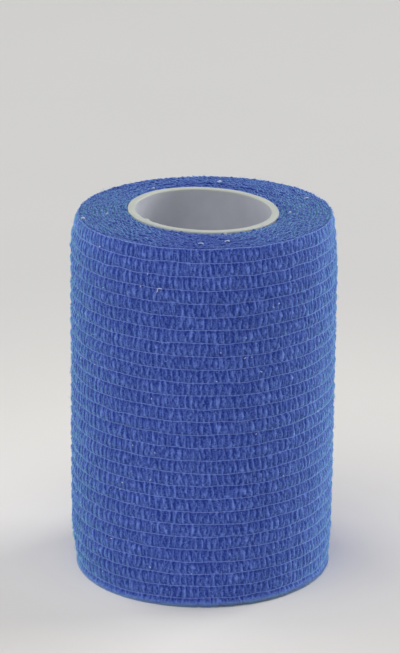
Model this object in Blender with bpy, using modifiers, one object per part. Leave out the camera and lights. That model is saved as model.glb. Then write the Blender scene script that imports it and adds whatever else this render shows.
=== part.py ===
"""A roll of cohesive bandage: one length of crinkled elastic nonwoven, wound up tight on a plastic tube.

Lengths are in metres, +Z is up and the origin is the middle of the face that the roll stands on.
The bandage is one solid of its wound form: the rows of cloth puff out between the elastic threads, each
turn lies a layer further out than the last, both ends are drawn in and a little uneven, and the outer end of
the cloth makes a low step down the back.
"""

from math import atan2, cos, floor, hypot, pi, radians, sin, tau

import bpy

# The wound bandage
ROLL_WIDTH = 0.075  # the width that the cloth is sold in, and so the height of the standing roll
ROLL_RADIUS = 0.0262  # mean outer radius, on the elastic threads
TURNS = 18
THREADS = 28  # elastic threads across the width, the first one at the upper edge
THREAD_PITCH = 0.002715
ROW_PUFF = 0.0003  # how far the cloth stands proud between two threads
ROW_SHOULDERS = (0.22, 0.78)  # where a row is fully out, as shares of the way from thread to thread
COLUMNS = 54  # straight stretches round the roll

# The tube that it is wound on
TUBE_RADIUS = 0.0151
TUBE_WALL = 0.0015
TUBE_RIM = 0.0003  # chamfer on the edges of both rims
TUBE_COLUMNS = 48
FIT_GAP = 0.0003  # between the tube and the first turn

# The outer end of the cloth
LOOSE_END_AT = radians(93.0)  # behind the roll
LOOSE_END_SLOPE = radians(0.8)  # half of the angle over which the step falls

# Towards the upper end the side stands further out than at the foot, and more so on the right
SIDE_WIDENS = {"all round": 0.00014, "more on the right": 0.00042}

# The upper edge: how far it lies below the tube's rim, how far it is drawn in, and over what height
UPPER_DROP = {"mean": 0.00040, "more at the back": 0.00035, "less on the right": 0.00010}
UPPER_DRAW = {"mean": 0.00100, "more at the back": 0.00020, "less on the right": 0.00015}
UPPER_DRAW_HEIGHT = {"mean": 0.0083, "more on the right": 0.0026}
UPPER_DRAW_CURVE = 1.15
UPPER_ROUNDING = 0.0004

# The lower edge: how far it is drawn in, and over what height
LOWER_DRAW = {"least": 0.00035, "more on the left": 0.00065}
LOWER_DRAW_HEIGHT = 0.0080

# The outer turns hang above the ground in front and a little to the right
LOWER_LIFT = 0.0006
LOWER_LIFT_AT = radians(-60.0)
FOOT_HEIGHTS = (0.00030, 0.00008, 0.0)  # the last steps down to the foot

# The upper rim of the tube is cut at a slant: it lies this much lower on the right, and higher on the left
TUBE_RIM_FALL = 0.00048

# Unevenness of the winding, each row a wave round the roll that also turns with height
WAVES = (
    {"lobes": 2, "turn_over_height": 0.10, "starts_at": 40.0, "size": 0.00008},
    {"lobes": 3, "turn_over_height": -0.22, "starts_at": 200.0, "size": 0.00006},
    {"lobes": 5, "turn_over_height": 0.35, "starts_at": 310.0, "size": 0.00005},
)

# How fast the unevenness fades inwards from the side, and away from the upper and the lower edge, as powers
OUTER_TURNS = 3
UPPER_TURNS = 10
LOWER_TURNS = 6

LAYER = (ROLL_RADIUS - TUBE_RADIUS - FIT_GAP) / TURNS
BORE_RADIUS = TUBE_RADIUS + FIT_GAP


# ---------------------------------------------------------------- scene

def clear_scene():
    for old in list(bpy.data.objects):
        bpy.data.objects.remove(old, do_unlink=True)


def make_collection(name):
    collection = bpy.data.collections.new(name)
    bpy.context.scene.collection.children.link(collection)
    return collection


def make_material(name, colour, roughness):
    """A Principled material. The colour is linear red, green and blue."""
    material = bpy.data.materials.new(name)
    material.use_nodes = True
    shader = material.node_tree.nodes["Principled BSDF"]
    shader.inputs["Base Color"].default_value = (*colour, 1.0)
    shader.inputs["Roughness"].default_value = roughness
    shader.inputs["Metallic"].default_value = 0.0
    material.diffuse_color = (*colour, 1.0)
    return material


# ---------------------------------------------------------------- turned shapes

def turned(name, profile, columns, collection, material):
    """A closed ring turned from a profile of (radius, height), which runs down its outer side."""
    count = len(profile)
    mesh = bpy.data.meshes.new(name + "_profile")
    points = [(radius, 0.0, height) for radius, height in profile]
    mesh.from_pydata(points, [(i, (i + 1) % count) for i in range(count)], [])
    guide = bpy.data.objects.new(name + "_profile", mesh)
    collection.objects.link(guide)

    screw = guide.modifiers.new("turn", "SCREW")
    screw.axis = "Z"
    screw.steps = columns
    screw.render_steps = columns
    screw.use_merge_vertices = True
    screw.merge_threshold = 0.00001

    evaluated = guide.evaluated_get(bpy.context.evaluated_depsgraph_get())
    body = bpy.data.objects.new(name, bpy.data.meshes.new_from_object(evaluated))
    body.data.name = name
    bpy.data.objects.remove(guide, do_unlink=True)
    collection.objects.link(body)
    body.data.materials.append(material)
    return body


def finish(body):
    body.data.shade_smooth()
    body.data.set_sharp_from_angle(angle=radians(50.0))


# ---------------------------------------------------------------- the wound bandage

def side_rows():
    """Down the side, (radius, height): sunk in at each elastic thread and full between two threads."""
    rows = []
    for thread in range(THREADS):
        height = ROLL_WIDTH - UPPER_ROUNDING / 2 - thread * THREAD_PITCH
        rows.append((ROLL_RADIUS, height))
        rows += [(ROLL_RADIUS + ROW_PUFF, height - share * THREAD_PITCH) for share in ROW_SHOULDERS]
    inside = [row for row in rows[1:] if row[1] > FOOT_HEIGHTS[0]]
    return inside + [(ROLL_RADIUS, height) for height in FOOT_HEIGHTS]


def bandage_profile():
    """Down the outer side, across the foot, up the bore and across the upper end."""
    middle = (BORE_RADIUS + ROLL_RADIUS) / 2
    rim = [(ROLL_RADIUS - UPPER_ROUNDING, ROLL_WIDTH), (ROLL_RADIUS, ROLL_WIDTH - UPPER_ROUNDING / 2)]
    foot = [((middle + ROLL_RADIUS) / 2, 0.0), (middle, 0.0), (BORE_RADIUS, 0.0)]
    upper_end = [(BORE_RADIUS, ROLL_WIDTH), ((BORE_RADIUS + middle) / 2, ROLL_WIDTH), (middle, ROLL_WIDTH),
                 ((middle + ROLL_RADIUS) / 2, ROLL_WIDTH)]
    return rim + side_rows() + foot + upper_end


def column_angle(angle):
    """Draws the two columns beside the loose end up to it, so that its step is short and steep."""
    pitch = tau / COLUMNS
    before = floor(LOOSE_END_AT / pitch)
    column = round(angle / pitch) % COLUMNS
    if column == before:
        return LOOSE_END_AT - LOOSE_END_SLOPE
    if column == (before + 1) % COLUMNS:
        return LOOSE_END_AT + LOOSE_END_SLOPE
    return column * pitch


def winding(angle):
    """The outer turn's distance from the mean radius. It gains one layer a turn, up to the loose end."""
    gained = ((angle - LOOSE_END_AT) % tau) / tau
    return LAYER * (gained - 0.5)


def waves(angle, height):
    total = 0.0
    for wave in WAVES:
        turned_by = tau * wave["turn_over_height"] * height / ROLL_WIDTH
        total += wave["size"] * cos(wave["lobes"] * angle + turned_by + radians(wave["starts_at"]))
    return total


def widening(angle, height):
    upward = height / ROLL_WIDTH
    return (SIDE_WIDENS["all round"] * (upward - 0.5)
            + SIDE_WIDENS["more on the right"] * (upward - 0.8) * cos(angle))


def upper_drop(angle):
    return (UPPER_DROP["mean"] + UPPER_DROP["more at the back"] * sin(angle)
            - UPPER_DROP["less on the right"] * cos(angle))


def upper_draw(angle, height):
    """How far the side is drawn in near the upper edge."""
    reach = UPPER_DRAW_HEIGHT["mean"] + UPPER_DRAW_HEIGHT["more on the right"] * cos(angle)
    most = (UPPER_DRAW["mean"] + UPPER_DRAW["more at the back"] * sin(angle)
            - UPPER_DRAW["less on the right"] * cos(angle))
    return most * max(0.0, 1.0 - (ROLL_WIDTH - height) / reach) ** UPPER_DRAW_CURVE


def lower_draw(angle, height):
    """How far the side is drawn in near the foot, in a soft curve."""
    most = LOWER_DRAW["least"] + LOWER_DRAW["more on the left"] * max(0.0, -cos(angle)) ** 3
    return most * 0.5 * (1.0 + cos(pi * min(1.0, height / LOWER_DRAW_HEIGHT)))


def lower_lift(angle):
    return LOWER_LIFT * max(0.0, cos(angle - LOWER_LIFT_AT)) ** 2


def shape_bandage(body):
    """Turns the plain ring into the wound form, one vertex at a time."""
    for vertex in body.data.vertices:
        x, y, height = vertex.co
        height = max(0.0, height)
        radius = hypot(x, y)
        angle = column_angle(atan2(y, x) % tau)
        outward = max(0.0, (radius - BORE_RADIUS) / (ROLL_RADIUS - BORE_RADIUS))
        upward = height / ROLL_WIDTH

        outside = winding(angle) + waves(angle, height) + widening(angle, height)
        outside -= upper_draw(angle, height) + lower_draw(angle, height)
        hanging = max(0.0, 2.0 * outward - 1.0) ** 2
        radius += outside * outward ** OUTER_TURNS
        height -= upper_drop(angle) * outward ** 2 * upward ** UPPER_TURNS
        height += lower_lift(angle) * hanging * (1.0 - upward) ** LOWER_TURNS
        vertex.co = (radius * cos(angle), radius * sin(angle), height)


def make_bandage(collection):
    cloth = make_material("crinkled_nonwoven", (0.035, 0.115, 0.47), 0.85)
    body = turned("bandage_roll", bandage_profile(), COLUMNS, collection, cloth)
    shape_bandage(body)
    finish(body)
    return body


# ---------------------------------------------------------------- the tube

def make_tube(collection):
    outer, inner, rim = TUBE_RADIUS, TUBE_RADIUS - TUBE_WALL, TUBE_RIM
    profile = [
        (outer - rim, ROLL_WIDTH), (outer, ROLL_WIDTH - rim), (outer, rim), (outer - rim, 0.0),
        (inner + rim, 0.0), (inner, rim), (inner, ROLL_WIDTH - rim), (inner + rim, ROLL_WIDTH),
    ]
    plastic = make_material("moulded_polypropylene", (0.75, 0.76, 0.74), 0.45)
    body = turned("core_tube", profile, TUBE_COLUMNS, collection, plastic)
    for vertex in body.data.vertices:
        if vertex.co.z > ROLL_WIDTH / 2:
            vertex.co.z -= TUBE_RIM_FALL * vertex.co.x / TUBE_RADIUS
    finish(body)
    return body


# ---------------------------------------------------------------- place

def centre_on_origin(bodies):
    """Moves the parts together, so that the middle of their common box is over the origin."""
    points = [vertex.co for body in bodies for vertex in body.data.vertices]
    middle_x = (min(p.x for p in points) + max(p.x for p in points)) / 2
    middle_y = (min(p.y for p in points) + max(p.y for p in points)) / 2
    for point in points:
        point.x -= middle_x
        point.y -= middle_y


def main():
    clear_scene()
    collection = make_collection("cohesive_bandage_roll")
    bandage = make_bandage(collection)
    tube = make_tube(collection)
    centre_on_origin([bandage, tube])


main()
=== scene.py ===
"""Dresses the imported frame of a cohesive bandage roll. Laid out as a Blender add-on, and run as a script.

The frame holds two plain solids, the wound bandage and the tube inside it. Here the bandage becomes its
crinkled outer turn, the spiral of the turns inside it, the elastic threads, and the fibres and bits of yarn
on them, and the tube gets its rounded rims. Lengths are in metres, +Z is up, and the roll stands on z = 0.
"""

from math import cos, pi, radians, sin, sqrt, tau

import bpy
import numpy as np
from bpy.props import FloatProperty, FloatVectorProperty, IntProperty, PointerProperty
from mathutils import Matrix, Vector


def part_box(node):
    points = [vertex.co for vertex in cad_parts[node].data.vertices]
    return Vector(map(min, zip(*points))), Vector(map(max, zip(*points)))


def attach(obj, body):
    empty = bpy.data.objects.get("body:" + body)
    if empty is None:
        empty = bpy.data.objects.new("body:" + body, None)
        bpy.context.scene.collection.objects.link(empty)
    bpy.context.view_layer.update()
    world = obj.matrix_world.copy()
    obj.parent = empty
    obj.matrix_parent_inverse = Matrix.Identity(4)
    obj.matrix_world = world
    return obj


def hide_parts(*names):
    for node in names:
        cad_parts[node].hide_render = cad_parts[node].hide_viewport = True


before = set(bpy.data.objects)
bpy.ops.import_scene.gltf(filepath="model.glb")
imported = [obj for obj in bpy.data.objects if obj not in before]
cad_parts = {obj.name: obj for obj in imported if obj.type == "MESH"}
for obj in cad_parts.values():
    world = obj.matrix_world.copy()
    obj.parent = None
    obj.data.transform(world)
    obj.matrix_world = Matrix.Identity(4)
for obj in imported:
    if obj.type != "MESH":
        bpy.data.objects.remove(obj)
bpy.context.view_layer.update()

bl_info = {
    "name": "Cohesive bandage roll",
    "version": (1, 0, 0),
    "blender": (4, 5, 0),
    "location": "3D Viewport > Sidebar > Bandage",
    "description": "Crinkled cohesive bandage wound on a plastic tube, with a plain stage",
    "category": "Add Mesh",
}

TUBE_LOW, TUBE_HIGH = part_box("core_tube")
AXIS_X = (TUBE_LOW.x + TUBE_HIGH.x) / 2  # the line that the roll is wound round
AXIS_Y = (TUBE_LOW.y + TUBE_HIGH.y) / 2
MM = 0.001

# The winding's form, the same values as in the part's source
LOOSE_END_AT = radians(93.0)  # behind the roll
SIDE_WIDENS = {"all round": 0.14 * MM, "more on the right": 0.42 * MM}
UPPER_DROP = {"mean": 0.40 * MM, "more at the back": 0.35 * MM, "less on the right": 0.10 * MM}
UPPER_DRAW = {"mean": 1.00 * MM, "more at the back": 0.20 * MM, "less on the right": 0.15 * MM}
UPPER_DRAW_HEIGHT = {"mean": 8.3 * MM, "more on the right": 2.6 * MM}
UPPER_DRAW_CURVE = 1.15
LOWER_DRAW = {"least": 0.35 * MM, "more on the left": 0.65 * MM}
LOWER_DRAW_HEIGHT = 8.0 * MM
LOWER_LIFT = 0.6 * MM
LOWER_LIFT_AT = radians(-60.0)
TUBE_RIM_FALL = 0.48 * MM  # the rim's slant, lower on the right
WAVES = (
    {"lobes": 2, "turn_over_height": 0.10, "starts_at": 40.0, "size": 0.08 * MM},
    {"lobes": 3, "turn_over_height": -0.22, "starts_at": 200.0, "size": 0.06 * MM},
    {"lobes": 5, "turn_over_height": 0.35, "starts_at": 310.0, "size": 0.05 * MM},
)
OUTER_TURNS = 3  # powers with which the unevenness fades inwards and away from the upper and the lower edge
UPPER_TURNS = 10
LOWER_TURNS = 6

# How finely the pieces are drawn
OUTER_COLUMNS = 1180  # round the outer turn
ROW_STEPS = (0.0, 0.14, 0.38, 0.62, 0.86)  # across each row of cloth, from one thread to the next
FOOT_STEPS = (0.0, 0.3, 0.6, 0.85, 1.0)  # from the last thread down to the foot
SPLIT_AT_THREAD = 14  # the outer turn is two pieces, which meet under this thread
INNER_STEP = 0.25 * MM
INNER_SAMPLES = 4000  # points at which the inner turns' length is worked out
THREAD_COLUMNS = 4  # a thread has a point at every fourth column of the cloth
TUBE_COLUMNS = 240
CORNER_STEPS = 4  # round each edge of the tube's rims
BOWL_COLUMNS = 64

# The crepe's relief, 0 in a hollow and 1 on a crease. A crease's width, and what its waves do, are in radians
# of its phase. What wanders, here and below, has its size and the lengths of its shortest and longest wave
# The material paints this relief as colour too: painted shade in the hollows, painted highlight on the
# creases
BLISTER_RELIEF = 0.24  # of the flat cloth between creases
SHARP_CREASES = {"spacing": 0.96, "width": 0.70, "relief": 0.80}
FAINT_CREASES = {"spacing": 0.70, "width": 0.90, "relief": 0.44}
HOLLOWS = {"relief": 0.28, "curve": 0.6}
CREASE_WAVES = 4  # that add up to one crease
CREASE_SPREAD = (0.86, 1.16)  # their lengths, over its spacing
CREASE_STARTS, CREASE_LEANS, CREASE_BOWS = pi, 2.4, 2.2
CREASE_WANDERS = (0.8, 1.0 * MM, 3.0 * MM)
CREASE_STRENGTH = 0.82  # in each part of a row
CREASE_STRENGTH_WANDERS = (0.33, 0.8 * MM, 2.2 * MM)
ROW_WIDTH = 2.7 * MM  # in the field by which creases wander
ROWS_APART = 9.0  # rows lie this many widths apart in it, so that each has creases of its own
# Below each thread the cloth tucks in, and the lower relief there also paints the thread's shadow
TUCK_AND_SHADOW = {"at": 0.15, "width": 0.08, "depth": 0.10, "more on a crease": 0.30}  # in each row, below its thread

# The outer turn's face
FIRST_THREAD = 0.2 * MM  # how far the first thread lies below the upper edge
OVERLAP = 0.006  # in turns: the turn starts a little way under its own loose end
THREAD_WANDERS = (0.07 * MM, 6 * MM, 40 * MM)
FIRST_THREAD_WANDERS = 0.6  # share of what the other threads do
PUFF_CURVE = 2.6
EVEN_RELIEF = 0.40  # cloth of this relief is neither raised nor sunk
FREE_TO_RISE = {"at a thread": 0.30, "more between": 0.70, "curve": 0.7, "upper edge": 0.85}
# The lower edge's relief rises towards a crest's pale colour: partly its fray, partly a painted highlight
UPPER_JAGS = {"size": 0.22 * MM, "even relief": 0.35}
FOOT_FRAY_AND_HIGHLIGHT = 0.95  # its relief
FOOT_FRAY_AND_HIGHLIGHT_WANDERS = (0.30, 0.5 * MM, 1.8 * MM)
FOOT_FRAY_AND_HIGHLIGHT_RISE = {"slope": 2.2, "starts": 0.9}
PRESSED_END = {"depth": 0.22 * MM, "length": 1.2 * MM}
RAGGED_END = {"turns": 0.012, "share": 0.6}
RAGGED_END_WANDERS = (0.0011, 1.5 * MM, 9 * MM)  # its size is in turns
DEEP_IN_LAYER = 0.96  # the wall behind the face ends a hair above the turn below
WALL_TONE = {"least": 0.4, "more on a crease": 0.6}

# The inner turns
INNER_START = -0.3  # in turns
INNER_LEVELS = (0.1, 1.1)  # rows that its upper and its lower edge take their creases from
INNER_EVEN_RELIEF = 0.7  # where the sheet neither sways nor rises
INNER_SWAY = 0.24 * MM
INNER_SWAY_WANDERS = (0.05 * MM, 3 * MM, 20 * MM)
INNER_EDGE = {"below": 0.05 * MM, "rise": 0.08 * MM}
INNER_EDGE_WANDERS = ((0.06 * MM, 0.9 * MM, 3.5 * MM), (0.06 * MM, 8 * MM, 60 * MM))
INNER_EDGE_MATTING = (0.07 * MM, 0.9 * MM, 2.4 * MM)
INNER_FOOT = {"height": 0.10 * MM, "roughness": 0.6, "highest": 0.3 * MM}
NEAR_TUBE = {"drop": 0.14 * MM, "starts": 1.2, "turns": 4.0}
INNER_TONE = {"mean": 0.64, "palest": 1.3}
INNER_TONE_WANDERS = (0.15, 0.5 * MM, 1.6 * MM)
INNER_TONE_MATTING = (0.19, 0.6 * MM, 1.4 * MM)

# The elastic threads. A cut thread reaches a little past the cloth's end and lies down on the turn below
THREAD_PROUD = 0.05 * MM
FIRST_THREAD_PROUD = -0.07 * MM  # it is bedded in the edge
THREAD_WOBBLE = {"Wander": 0.10 * MM, "Wander Length": 1.6 * MM}
CUT_THREAD = {"shortest": 0.2 * MM, "longest": 1.3 * MM, "slope": 0.5}
CUT_THREAD_ALONG = (0.35, 0.7, 1.0)  # its points, as shares of its length
CUT_THREAD_DOWN = (0.3, 0.75, 0.9)  # and how far down they lie, in layers

# The stray bits, and the hooked end that hangs from the fourth thread, left of the middle of the front
BIT_LENGTH = (0.12 * MM, 0.42 * MM)
BIT_BENDS = 0.8 / MM  # radians a metre
BIT_PROUD = 0.10 * MM
BIT_THICKNESS = 0.15 * MM
BIT_WOBBLE = {"Wander": 0.05 * MM, "Wander Length": 0.8 * MM}
HOOK_THREAD = 3
HOOK_AT = radians(-107.8)
HOOK = (  # along the thread and up
    (0.62 * MM, 0.02 * MM), (0.25 * MM, 0.07 * MM), (-0.08 * MM, 0.03 * MM),
    (-0.26 * MM, -0.16 * MM), (-0.26 * MM, -0.50 * MM), (-0.44 * MM, -0.80 * MM),
)
# Longer bits on the upper end: to the right of the axis, behind it, and length. Each is a tangle of three
BITS_ON_END = (
    (4.6 * MM, -21.3 * MM, 0.9 * MM), (20.8 * MM, 6.9 * MM, 0.9 * MM), (3.3 * MM, 18.0 * MM, 0.8 * MM),
    (-23.6 * MM, -6.8 * MM, 0.8 * MM), (-0.4 * MM, -23.2 * MM, 1.1 * MM), (-10.2 * MM, 13.2 * MM, 0.5 * MM),
    (4.3 * MM, -16.6 * MM, 0.5 * MM), (17.2 * MM, -3.0 * MM, 0.4 * MM), (-19.0 * MM, -4.0 * MM, 0.4 * MM),
)
TANGLE = 3
TANGLE_ASIDE = 0.12 * MM
TANGLE_HEIGHTS = (0.18 * MM, 0.32 * MM, 0.22 * MM)
TANGLE_HEADING = 0.5  # radians off the line across the picture
TANGLE_SIZES = (0.7, 1.1)

# The loose fibres
FIBRE_BEND = ((0.0, 0.0, -0.05), (0.45, 0.10, 0.42), (0.95, -0.15, 0.16))  # root, arch, tip, over its length
FIBRE_LEAN = 0.25  # radians
FIBRE_SIZES = (0.45, 1.25)  # over the mean length

# The fringe. Upper fibres lie along the edge, and lower ones hang from it and stand a little way out
UPPER_FRINGE_SHARE = 3  # the upper edge has a third as many
UPPER_FRINGE = {"low": -0.12 * MM, "high": 0.06 * MM, "along": 0.8 * MM, "out": 0.06 * MM, "in": 0.24 * MM}
LOWER_FRINGE = {"along": 0.35 * MM, "root out": 0.03 * MM, "out": 0.26 * MM}
LOWER_FRINGE_ROOTS = (0.05 * MM, 0.60 * MM)  # heights over the edge
LOWER_FRINGE_TIPS = (-0.50 * MM, 0.05 * MM)
FRINGE_THICKNESS = 1.4  # over a loose fibre's
FRINGE_WOBBLE = {"Wander": 0.03 * MM, "Wander Length": 0.6 * MM}
END_MARGIN = 20  # columns on both sides of the loose end that bits and fringe keep clear of

# The tube. The saw left its upper rim a little uneven, with one small burr on its inner edge
WALL_STARTS = 1.3  # roundings from the rim
RIM_REACHES = 1.1  # roundings, in its own colour
SAW_WAVES = ((3, 0.7, 0.02 * MM), (11, 2.0, 0.012 * MM))  # lobes, phase and height
SAW_REACHES = 1.0 * MM
BURR = {"at": radians(-143.0), "width": 0.035, "inwards": 0.22 * MM, "upwards": 0.18 * MM}  # width in radians

# The stage is a shallow bowl, so that no view meets an edge: the radius and height of its rings
BOWL = ((1.6, 0.0), (1.9, 0.02), (2.2, 0.10), (2.5, 0.30), (2.7, 0.65), (2.8, 1.2))
BOWL_BELOW = 0.02 * MM  # so that it doesn't share a plane with the foot
# Angles are degrees round the roll from the camera, to the right, and up from the floor
LAMPS = (
    {"name": "left_softbox", "azimuth": -126, "up": 24, "distance": 1.6, "size": 1.2, "watts": 10.4},
    {"name": "right_softbox", "azimuth": 117, "up": 20, "distance": 1.6, "size": 1.0, "watts": 19.5},
    {"name": "upper_fill", "azimuth": -32, "up": 68, "distance": 1.6, "size": 1.6, "watts": 19.0},
)
CAMERA_AIM = (AXIS_X - 0.60 * MM, AXIS_Y, 50.18 * MM)
CAMERA_ROLL = radians(0.187)
CAMERA_CLIP = (0.01, 20.0)
SENSOR_MM = 36.0

SEEDS = {"outer turn": 11, "inner turns": 23, "threads": 5, "stray bits": 3, "upper side fibres": 7,
         "lower side fibres": 8, "end fibres": 19, "edge fringe": 31}


# ---------------------------------------------------------------- settings

def linear(text):
    """The linear red, green and blue of an sRGB hex colour."""
    channels = [int(text[i:i + 2], 16) / 255 for i in (1, 3, 5)]
    return tuple(c / 12.92 if c <= 0.04045 else ((c + 0.055) / 1.055) ** 2.4 for c in channels)


class RollSizes(bpy.types.PropertyGroup):
    width: FloatProperty(
        name="Width", description="Width of the cloth, and so the height of the standing roll",
        default=75.0 * MM, min=0.02, max=0.2, unit="LENGTH", precision=4)
    radius: FloatProperty(
        name="Radius", description="Mean outer radius of the roll, on its elastic threads",
        default=26.2 * MM, min=0.01, max=0.1, unit="LENGTH", precision=4)
    turns: IntProperty(
        name="Turns", description="Turns of cloth on the tube",
        default=18, min=2, max=60)
    tube_radius: FloatProperty(
        name="Tube radius", description="Outer radius of the tube that the cloth is wound on",
        default=(TUBE_HIGH.x - TUBE_LOW.x) / 2, min=0.003, max=0.05, unit="LENGTH", precision=4)
    tube_wall: FloatProperty(
        name="Tube wall", description="Thickness of the tube's wall",
        default=1.5 * MM, min=0.0005, max=0.01, unit="LENGTH", precision=4)
    tube_rounding: FloatProperty(
        name="Rim rounding", description="Radius on the edges of the tube's rims",
        default=0.32 * MM, min=0.00005, max=0.002, unit="LENGTH", precision=4)
    fit_gap: FloatProperty(
        name="Fit gap", description="Room between the tube and the first turn",
        default=0.3 * MM, min=0.0, max=0.002, unit="LENGTH", precision=4)


class ClothSizes(bpy.types.PropertyGroup):
    threads: IntProperty(
        name="Threads", description="Elastic threads across the width",
        default=28, min=2, max=80)
    thread_pitch: FloatProperty(
        name="Thread pitch", description="Distance from one elastic thread to the next",
        default=2.715 * MM, min=0.0005, max=0.01, unit="LENGTH", precision=5)
    thread_thickness: FloatProperty(
        name="Thread thickness", description="Diameter of an elastic thread with its wrapping",
        default=0.13 * MM, min=0.00002, max=0.001, unit="LENGTH", precision=5)
    row_puff: FloatProperty(
        name="Puff", description="How far the cloth stands proud between two threads",
        default=0.30 * MM, min=0.0, max=0.002, unit="LENGTH", precision=5)
    crinkle_spacing: FloatProperty(
        name="Crinkle spacing", description="Mean distance from one crinkle to the next along the cloth",
        default=1.40 * MM, min=0.0002, max=0.005, unit="LENGTH", precision=5)
    crinkle_depth: FloatProperty(
        name="Crinkle depth", description="Height of the crinkles from hollow to crest",
        default=0.47 * MM, min=0.0, max=0.002, unit="LENGTH", precision=5)
    thickness: FloatProperty(
        name="Cloth thickness", description="Thickness of one layer, seen at its cut edge",
        default=0.40 * MM, min=0.00005, max=0.002, unit="LENGTH", precision=5)
    stray_bits: IntProperty(
        name="Stray bits", description="Pale bits of yarn that cling to the outer turn",
        default=90, min=0, max=2000)
    fibres: IntProperty(
        name="Fibres", description="Loose fibres on the side, and as many for the same area on the upper end",
        default=7500, min=0, max=20000)
    fringe_fibres: IntProperty(
        name="Fringe fibres",
        description="Frayed fibres on the lower edge of the outer turn. The upper edge has a third as many",
        default=4000, min=0, max=20000)
    fibre_length: FloatProperty(
        name="Fibre length", description="Mean length of a loose fibre",
        default=0.9 * MM, min=0.0001, max=0.01, unit="LENGTH", precision=5)
    fibre_thickness: FloatProperty(
        name="Fibre thickness", description="Diameter of a loose fibre as drawn",
        default=0.040 * MM, min=0.00001, max=0.001, unit="LENGTH", precision=5)


class RollColours(bpy.types.PropertyGroup):
    # Painted shade: the hollows' colour is darker for the shade that falls in them
    cloth_shaded_hollow: FloatVectorProperty(
        name="Cloth in the hollows", description="Colour of the nonwoven between two crinkles",
        default=linear("#1c369e"), min=0.0, max=1.0, size=3, subtype="COLOR")
    # Painted highlight: the crests' colour is paler for the light they catch, and for their fuzz
    cloth_lit_crest: FloatVectorProperty(
        name="Cloth on the crests", description="Colour of the nonwoven on top of a crinkle",
        default=linear("#809dfd"), min=0.0, max=1.0, size=3, subtype="COLOR")
    cloth_cut: FloatVectorProperty(
        name="Cut edge", description="Colour of the nonwoven on its cut edges, which fray and so look paler",
        default=linear("#616fbb"), min=0.0, max=1.0, size=3, subtype="COLOR")
    cloth_sheen: FloatVectorProperty(
        name="Fuzz", description="Colour that the fuzz gives the cloth where it is seen edge on",
        default=linear("#a6ffff"), min=0.0, max=1.0, size=3, subtype="COLOR")
    thread: FloatVectorProperty(
        name="Thread", description="Colour of the elastic threads",
        default=linear("#8fa4f2"), min=0.0, max=1.0, size=3, subtype="COLOR")
    stray: FloatVectorProperty(
        name="Stray bits", description="Colour of the stray bits of yarn",
        default=linear("#f0f5ff"), min=0.0, max=1.0, size=3, subtype="COLOR")
    fibre: FloatVectorProperty(
        name="Fibre", description="Colour of the loose fibres",
        default=linear("#a4d0ea"), min=0.0, max=1.0, size=3, subtype="COLOR")
    tube: FloatVectorProperty(
        name="Tube", description="Colour of the tube's wall",
        default=linear("#d2d4dd"), min=0.0, max=1.0, size=3, subtype="COLOR")
    tube_rim: FloatVectorProperty(
        name="Tube rim", description="Colour of the tube's rims",
        default=linear("#c7ccc4"), min=0.0, max=1.0, size=3, subtype="COLOR")
    floor: FloatVectorProperty(
        name="Floor", description="Colour of the floor and the backdrop",
        default=linear("#d3d2d0"), min=0.0, max=1.0, size=3, subtype="COLOR")
    # Painted light: the floor round the roll is paler, to lift the shade that the lamps cast there
    floor_lit_middle: FloatVectorProperty(
        name="Floor's middle", description="Colour of the floor round the roll",
        default=linear("#e6e3de"), min=0.0, max=1.0, size=3, subtype="COLOR")


class StageSizes(bpy.types.PropertyGroup):
    focal_length: FloatProperty(
        name="Focal length", description="Focal length of the camera, in millimetres on a 36 mm sensor",
        default=191.6, min=10.0, max=500.0, precision=1)
    distance: FloatProperty(
        name="Distance", description="How far the camera stands from the point that it looks at",
        default=0.70, min=0.1, max=5.0, unit="LENGTH", precision=3)
    elevation: FloatProperty(
        name="Elevation", description="How high the camera stands above the horizon",
        default=radians(19.35), min=0.0, max=1.5, unit="ROTATION")
    light: FloatProperty(
        name="Light", description="Factor on the power of every lamp",
        default=1.0, min=0.0, max=10.0)
    sky: FloatProperty(
        name="Sky", description="Strength of the even light from all round",
        default=0.07, min=0.0, max=5.0)
    sky_colour: FloatVectorProperty(
        name="Sky colour", description="Colour of the even light from all round",
        default=linear("#f6f7fa"), min=0.0, max=1.0, size=3, subtype="COLOR")


# ---------------------------------------------------------------- nodes and materials

def add_node(tree, kind, inputs=None, **settings):
    """Adds a node. An input takes a value, a socket, or a node, of which it takes the first output in use."""
    node = tree.nodes.new(kind)
    for name, value in settings.items():
        setattr(node, name, value)
    for key, value in (inputs or {}).items():
        enabled = [socket for socket in node.inputs if socket.enabled]
        socket = enabled[key] if isinstance(key, int) else next(s for s in enabled if s.name == key)
        if isinstance(value, bpy.types.Node):
            value = next(output for output in value.outputs if output.enabled)
        if isinstance(value, bpy.types.NodeSocket):
            tree.links.new(value, socket)
        else:
            socket.default_value = value
    return node


def new_material(name, colour):
    """An empty material, with the colour that the viewport shows. Returns it and its node tree."""
    material = bpy.data.materials.new(name)
    material.diffuse_color = (*colour, 1.0)
    material.use_nodes = True
    material.node_tree.nodes.clear()
    return material, material.node_tree


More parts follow.
